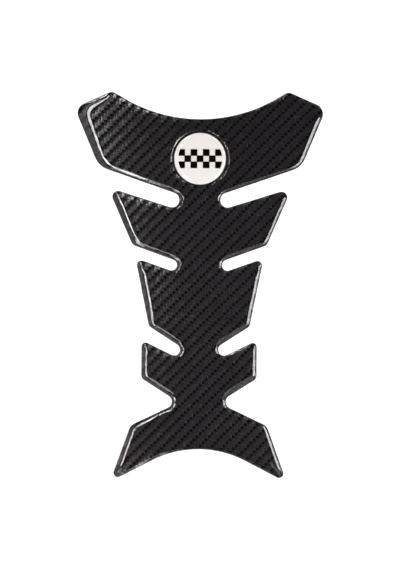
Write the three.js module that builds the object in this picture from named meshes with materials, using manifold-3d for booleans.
// A motorcycle tank pad: a self-adhesive vinyl sheet printed as woven carbon, cut to a spine with pairs
// of fins, and flooded with clear resin that draws itself into a rounded edge. A round white emblem with
// its own clear dome sits in a well in the resin. Millimetres, +Y towards the pad's broad end, +Z away
// from the tank. The pad lies on its adhesive, and the origin is under the middle of its outline.
import * as THREE from 'three';
import { mergeVertices, toCreasedNormals } from 'three/addons/utils/BufferGeometryUtils.js';
import Module from 'manifold-3d';

const wasm = await Module();
wasm.setup();

// Thickness of each layer, from the tank up
const ADHESIVE_THICKNESS = 0.25;
const FILM_THICKNESS = 0.25;
const RESIN_THICKNESS = 2.25;

// The clear resin rises from a short upright edge to its flat face along a drop's rounded shoulder
const RESIN_EDGE_HEIGHT = 0.5;
const RESIN_SHOULDER_WIDTH = 4;
const SHOULDER_POWER = 2.5;
const SHOULDER_STEPS = 6;
const TIGHTEST_ARRIS = 0.8;

// Right half of the outline, walked down from the shoulder's tip. A corner is where two straight edges
// would meet before its radius rounds it off: x is its distance from the middle line, and drop is how far
// it lies below the corner before it.
const SHOULDER_TIP = { x: 50.35, drop: 0, radius: 4 };
const SHOULDER_CORNER = { x: 71.98, drop: 9.51, radius: 6.1 };
const SHOULDER_HEEL = { x: 57.9, drop: 33.53, radius: 11.8 };
const UPPER_FIN_TIP = { x: 52.68, drop: 11.85, radius: 3.4 };
const UPPER_FIN_HEEL = { x: 38.43, drop: 32.92, radius: 4.4 };
const MIDDLE_FIN_TIP = { x: 36.7, drop: 7.38, radius: 2.7 };
const MIDDLE_FIN_HEEL = { x: 28.81, drop: 39.03, radius: 3.5 };
const LOWER_FIN_TIP = { x: 32.97, drop: 7.77, radius: 2.4 };
const LOWER_FIN_HEEL = { x: 33.01, drop: 21.95, radius: 3.5 };
const FOOT_HEEL = { x: 38.97, drop: 26.83, radius: 5.9 };
const FOOT_TIP = { x: 50.7, drop: 32.53, radius: 2.6 };

// The round inner ends of the bites between fins. Their drop is measured from the heel above them.
const UPPER_SLOT = { x: 15.99, drop: 18.95, radius: 4.2 };
const MIDDLE_SLOT = { x: 16.07, drop: 11.34, radius: 3.1 };
const LOWER_SLOT = { x: 14.34, drop: 13.22, radius: 3.3 };
const SIDE_NOTCH = { x: 19.3, drop: 13.26, radius: 3.8 };

// The hollow top and bottom edges: how deep each dips between its two tips, and how far it runs straight
// from a tip before it turns into an arc
const TOP_HOLLOW = { depth: 15.8, straightEnd: 7.8 };
const BOTTOM_HOLLOW = { depth: 18.9, straightEnd: 27.2 };

// The emblem and the well that it sits in
const EMBLEM_RADIUS = 14.7;
const EMBLEM_CLEARANCE = 1.2;
const EMBLEM_LAND = 1.3;
const WELL_LIP_WIDTH = 1.4;
const EMBLEM_SHOULDER_WIDTH = 3;
const EMBLEM_DISC_THICKNESS = 0.25;
const EMBLEM_PRINT_THICKNESS = 0.125;
const EMBLEM_DOME_THICKNESS = 1.875;
const EMBLEM_EDGE_HEIGHT = 0.5;

// The emblem's print: a band of chequers, whose squares overlap a little at their corners
const CHEQUER_PITCH = 3.5;
const CHEQUER_OVERLAP = 0.3;
const CHEQUER_COLUMNS = 7;
const CHEQUER_ROWS = 3;
const PRINT_MARGIN = 2.2;

// How finely curves are cut into straight facets
const CHORD_ERROR = 0.03;
const EMBLEM_SEGMENTS = 72;
const CREASE_ANGLE = Math.PI / 6;

const bay = (size) => ({ ...size, isBay: true });
const FLANK = [
  SHOULDER_TIP,
  SHOULDER_CORNER,
  SHOULDER_HEEL,
  bay(UPPER_SLOT),
  UPPER_FIN_TIP,
  UPPER_FIN_HEEL,
  bay(MIDDLE_SLOT),
  MIDDLE_FIN_TIP,
  MIDDLE_FIN_HEEL,
  bay(LOWER_SLOT),
  LOWER_FIN_TIP,
  LOWER_FIN_HEEL,
  bay(SIDE_NOTCH),
  FOOT_HEEL,
  FOOT_TIP,
];

const colour = (hex, roughness, metalness = 0) =>
  new THREE.MeshStandardMaterial({ color: hex, roughness, metalness });
const clearResin = new THREE.MeshStandardMaterial({
  color: 0xf4f5f6,
  roughness: 0.05,
  transparent: true,
  opacity: 0.3,
});
const carbonPrint = colour(0x242326, 0.35);
const greyAdhesive = colour(0xb9b8b2, 0.6);
const whiteVinyl = colour(0xf1eee8, 0.4);
const blackInk = colour(0x101012, 0.4);

// The flank's corners and bites, placed below the shoulder's tip, which is at height 0
function placedFlank() {
  let cornerY = 0;
  return FLANK.map((item) => {
    const y = cornerY - item.drop;
    if (!item.isBay) cornerY = y;
    return { ...item, y };
  });
}

// The arc of a hollow end edge, which dips towards the pad's middle from the tips on either side
function hollowArc({ depth, straightEnd }, tip, away) {
  const radius = (tip.x ** 2 + depth ** 2 - straightEnd ** 2) / (2 * depth);
  return bay({ x: 0, y: tip.y + away * (radius - depth), radius });
}

function halfOutline() {
  const flank = placedFlank();
  return [hollowArc(TOP_HOLLOW, flank[0], 1), ...flank, hollowArc(BOTTOM_HOLLOW, flank.at(-1), -1)];
}

// Direction of the straight edge between two neighbours, travelling with the material on the right.
// A bay stays on the left of the edge, and the edge only touches it.
function edgeDirection(from, to) {
  const heading = Math.atan2(to.y - from.y, to.x - from.x);
  const distance = Math.hypot(to.x - from.x, to.y - from.y);
  if (to.isBay) return heading - Math.asin(to.radius / distance);
  if (from.isBay) return heading + Math.asin(from.radius / distance);
  return heading;
}

// One edge: a point on it, its unit direction and the normal that points into the material
function edgeBetween(from, to) {
  const angle = edgeDirection(from, to);
  const direction = new THREE.Vector2(Math.cos(angle), Math.sin(angle));
  const inward = new THREE.Vector2(direction.y, -direction.x);
  const corner = from.isBay ? to : from;
  return { point: new THREE.Vector2(corner.x, corner.y), direction, inward };
}

// Where two edges cross once both have moved inward by the same distance
function movedCrossing(first, second, distance) {
  const start = first.point.clone().addScaledVector(first.inward, distance);
  const other = second.point.clone().addScaledVector(second.inward, distance);
  const reach = other.sub(start).cross(second.direction) / first.direction.cross(second.direction);
  return start.addScaledVector(first.direction, reach);
}

// Points along an arc, in steps small enough for the chord error at the rounding's own radius
function arcPoints(centre, radius, startAngle, sweep, ownRadius) {
  const step = 2 * Math.acos(1 - CHORD_ERROR / ownRadius);
  const count = Math.max(3, Math.ceil(Math.abs(sweep) / step));
  return Array.from({ length: count + 1 }, (_, i) => {
    const angle = startAngle + (sweep * i) / count;
    return new THREE.Vector2(
      centre.x + radius * Math.cos(angle),
      centre.y + radius * Math.sin(angle),
    );
  });
}

// The turn from one normal to the next: counter-clockwise round a bay, clockwise round a corner
function turnBetween(before, after, isBay) {
  const turn = after.angle() - before.angle();
  return isBay ? THREE.MathUtils.euclideanModulo(turn, 2 * Math.PI)
    : -THREE.MathUtils.euclideanModulo(-turn, 2 * Math.PI);
}

// The right half of the outline, moved inward by the inset. Bays open by it and corners close by it,
// and each rounding keeps its number of points, so that outlines at any two insets match point to point.
function halfLoop(inset) {
  const items = halfOutline();
  const edges = items.slice(1).map((item, i) => edgeBetween(items[i], item));
  const up = new THREE.Vector2(0, 1);
  const down = new THREE.Vector2(0, -1);
  return items.flatMap((item, i) => {
    const normalBefore = i === 0 ? down : edges[i - 1].inward;
    const normalAfter = i === edges.length ? up : edges[i].inward;
    const sweep = turnBetween(normalBefore, normalAfter, item.isBay);
    if (item.isBay) {
      return arcPoints(item, item.radius + inset, normalBefore.angle(), sweep, item.radius);
    }
    const radius = Math.max(item.radius - inset, TIGHTEST_ARRIS);
    const centre = movedCrossing(edges[i - 1], edges[i], inset + radius);
    const outward = normalBefore.clone().negate().angle();
    return arcPoints(centre, radius, outward, sweep, item.radius);
  });
}

// The whole outline, counter-clockwise, from its right half and that half's mirror image
function padLoop(inset) {
  const right = halfLoop(inset);
  right[0].x = 0;
  right[right.length - 1].x = 0;
  const left = right.slice(1, -1).map((p) => new THREE.Vector2(-p.x, p.y));
  return [...left, ...right.reverse()];
}

function circleLoop(radius, centreY) {
  return Array.from({ length: EMBLEM_SEGMENTS }, (_, i) => {
    const angle = (2 * Math.PI * i) / EMBLEM_SEGMENTS;
    return new THREE.Vector2(radius * Math.cos(angle), centreY + radius * Math.sin(angle));
  });
}

// Height of the resin's rounded shoulder at a share of its width: steep at the edge, level at the top
const shoulderRise = (share) => 1 - (1 - share) ** SHOULDER_POWER;

// The shoulder as steps of inset and height, closer together near the edge, where it curves most
function shoulderSteps(width, edgeHeight, fullHeight) {
  return Array.from({ length: SHOULDER_STEPS + 1 }, (_, i) => {
    const share = (i / SHOULDER_STEPS) ** 1.5;
    return {
      inset: width * share,
      height: edgeHeight + (fullHeight - edgeHeight) * shoulderRise(share),
    };
  });
}

// A closed body built from loops of points, added as walls between loops and caps that fill a loop
class LoopBody {
  constructor() {
    this.vertices = [];
    this.triangles = [];
  }

  addLoop(points, z) {
    const first = this.vertices.length;
    points.forEach((p) => this.vertices.push([p.x, p.y, z]));
    return points.map((_, i) => first + i);
  }

  // Quads between two matching loops; the wall faces outward where the loops run counter-clockwise
  addWall(lower, upper) {
    lower.forEach((_, i) => {
      const next = (i + 1) % lower.length;
      this.triangles.push([lower[i], lower[next], upper[next]], [lower[i], upper[next], upper[i]]);
    });
  }

  addCap(outer, holes, facesUp) {
    const flat = (loop) => loop.map((i) => new THREE.Vector2(...this.vertices[i]));
    const indices = [...outer, ...holes.flat()];
    THREE.ShapeUtils.triangulateShape(flat(outer), holes.map(flat)).forEach(([a, b, c]) => {
      const [p, q, r] = flat([indices[a], indices[b], indices[c]]);
      const isUp = q.sub(p).cross(r.sub(p)) > 0;
      const corners = isUp === facesUp ? [a, b, c] : [a, c, b];
      this.triangles.push(corners.map((corner) => indices[corner]));
    });
  }

  geometry() {
    const geometry = new THREE.BufferGeometry();
    geometry.setAttribute('position', new THREE.Float32BufferAttribute(this.vertices.flat(), 3));
    geometry.setIndex(this.triangles.flat());
    return toCreasedNormals(geometry, CREASE_ANGLE);
  }
}

// A flat sheet of the pad's whole outline
function sheetGeometry(thickness) {
  const body = new LoopBody();
  const outline = padLoop(0);
  const lower = body.addLoop(outline, 0);
  const upper = body.addLoop(outline, thickness);
  body.addWall(lower, upper);
  body.addCap(lower, [], false);
  body.addCap(upper, [], true);
  return body.geometry();
}

// The clear casting: an upright edge and a rounded shoulder all round, and the same round the well
function padDomeGeometry(wellRadius, wellY) {
  const body = new LoopBody();
  const outside = shoulderSteps(RESIN_SHOULDER_WIDTH, RESIN_EDGE_HEIGHT, RESIN_THICKNESS);
  const inside = shoulderSteps(WELL_LIP_WIDTH, RESIN_EDGE_HEIGHT, RESIN_THICKNESS);
  const outer = [
    body.addLoop(padLoop(0), 0),
    ...outside.map((step) => body.addLoop(padLoop(step.inset), step.height)),
  ];
  const well = [
    body.addLoop(circleLoop(wellRadius, wellY), 0),
    ...inside.map((step) => body.addLoop(circleLoop(wellRadius + step.inset, wellY), step.height)),
  ];
  outer.slice(1).forEach((loop, i) => body.addWall(outer[i], loop));
  well.slice(1).forEach((loop, i) => body.addWall(loop, well[i]));
  body.addCap(outer[0], [well[0]], false);
  body.addCap(outer.at(-1), [well.at(-1)], true);
  return body.geometry();
}

// The emblem's lens, turned about its own axis: an upright edge, the shoulder, and a level top
function emblemDomeGeometry() {
  const shoulder = shoulderSteps(EMBLEM_SHOULDER_WIDTH, EMBLEM_EDGE_HEIGHT, EMBLEM_DOME_THICKNESS);
  const profile = [
    new THREE.Vector2(0, 0),
    new THREE.Vector2(EMBLEM_RADIUS, 0),
    ...shoulder.map((step) => new THREE.Vector2(EMBLEM_RADIUS - step.inset, step.height)),
    new THREE.Vector2(0, EMBLEM_DOME_THICKNESS),
  ];
  return new THREE.LatheGeometry(profile, EMBLEM_SEGMENTS).rotateX(Math.PI / 2);
}

function discGeometry(radius, thickness) {
  return new THREE.CylinderGeometry(radius, radius, thickness, EMBLEM_SEGMENTS)
    .rotateX(Math.PI / 2)
    .translate(0, 0, thickness / 2);
}

function asSolid(geometry) {
  const bare = geometry.clone();
  bare.deleteAttribute('normal');
  bare.deleteAttribute('uv');
  const merged = mergeVertices(bare);
  return new wasm.Manifold(
    new wasm.Mesh({
      numProp: 3,
      vertProperties: merged.attributes.position.array,
      triVerts: new Uint32Array(merged.index.array),
    }),
  );
}

function asGeometry(solid) {
  const mesh = solid.getMesh();
  const geometry = new THREE.BufferGeometry();
  geometry.setAttribute('position', new THREE.BufferAttribute(mesh.vertProperties, 3));
  geometry.setIndex(new THREE.BufferAttribute(mesh.triVerts, 1));
  return toCreasedNormals(geometry, CREASE_ANGLE);
}

// Chequers joined into one printed field and trimmed to a circle inside the disc's rim
function emblemPrintGeometry() {
  const side = CHEQUER_PITCH + CHEQUER_OVERLAP;
  const middleColumn = (CHEQUER_COLUMNS - 1) / 2;
  const middleRow = (CHEQUER_ROWS - 1) / 2;
  const squares = [];
  for (let column = 0; column < CHEQUER_COLUMNS; column += 1) {
    for (let row = 0; row < CHEQUER_ROWS; row += 1) {
      if ((column + row) % 2 === 0) {
        const square = new THREE.BoxGeometry(side, side, EMBLEM_PRINT_THICKNESS);
        const x = (column - middleColumn) * CHEQUER_PITCH;
        const y = (row - middleRow) * CHEQUER_PITCH;
        squares.push(asSolid(square.translate(x, y, EMBLEM_PRINT_THICKNESS / 2)));
      }
    }
  }
  const band = squares.reduce((joined, square) => joined.add(square));
  const field = asSolid(discGeometry(EMBLEM_RADIUS - PRINT_MARGIN, EMBLEM_PRINT_THICKNESS));
  return asGeometry(band.intersect(field));
}

function piece(name, geometry, material, z) {
  const mesh = new THREE.Mesh(geometry, material);
  mesh.name = name;
  mesh.position.z = z;
  return mesh;
}

function buildEmblem() {
  const emblem = new THREE.Group();
  const printZ = EMBLEM_DISC_THICKNESS;
  const domeZ = printZ + EMBLEM_PRINT_THICKNESS;
  emblem.add(
    piece('emblem_disc', discGeometry(EMBLEM_RADIUS, EMBLEM_DISC_THICKNESS), whiteVinyl, 0),
    piece('emblem_print', emblemPrintGeometry(), blackInk, printZ),
    piece('emblem_dome', emblemDomeGeometry(), clearResin, domeZ),
  );
  return emblem;
}

function buildTankPad() {
  const wellRadius = EMBLEM_RADIUS + EMBLEM_CLEARANCE;
  const topEdgeY = -TOP_HOLLOW.depth;
  const emblemY = topEdgeY - RESIN_SHOULDER_WIDTH - EMBLEM_LAND - WELL_LIP_WIDTH - wellRadius;
  const filmTop = ADHESIVE_THICKNESS + FILM_THICKNESS;

  const emblem = buildEmblem();
  emblem.position.set(0, emblemY, filmTop);

  const tankPad = new THREE.Group();
  tankPad.add(
    piece('adhesive_layer', sheetGeometry(ADHESIVE_THICKNESS), greyAdhesive, 0),
    piece('carbon_film', sheetGeometry(FILM_THICKNESS), carbonPrint, ADHESIVE_THICKNESS),
    piece('pad_dome', padDomeGeometry(wellRadius, emblemY), clearResin, filmTop),
    emblem,
  );

  const outline = new THREE.Box2().setFromPoints(padLoop(0));
  tankPad.position.y = -outline.getCenter(new THREE.Vector2()).y;
  return tankPad;
}

export default buildTankPad();
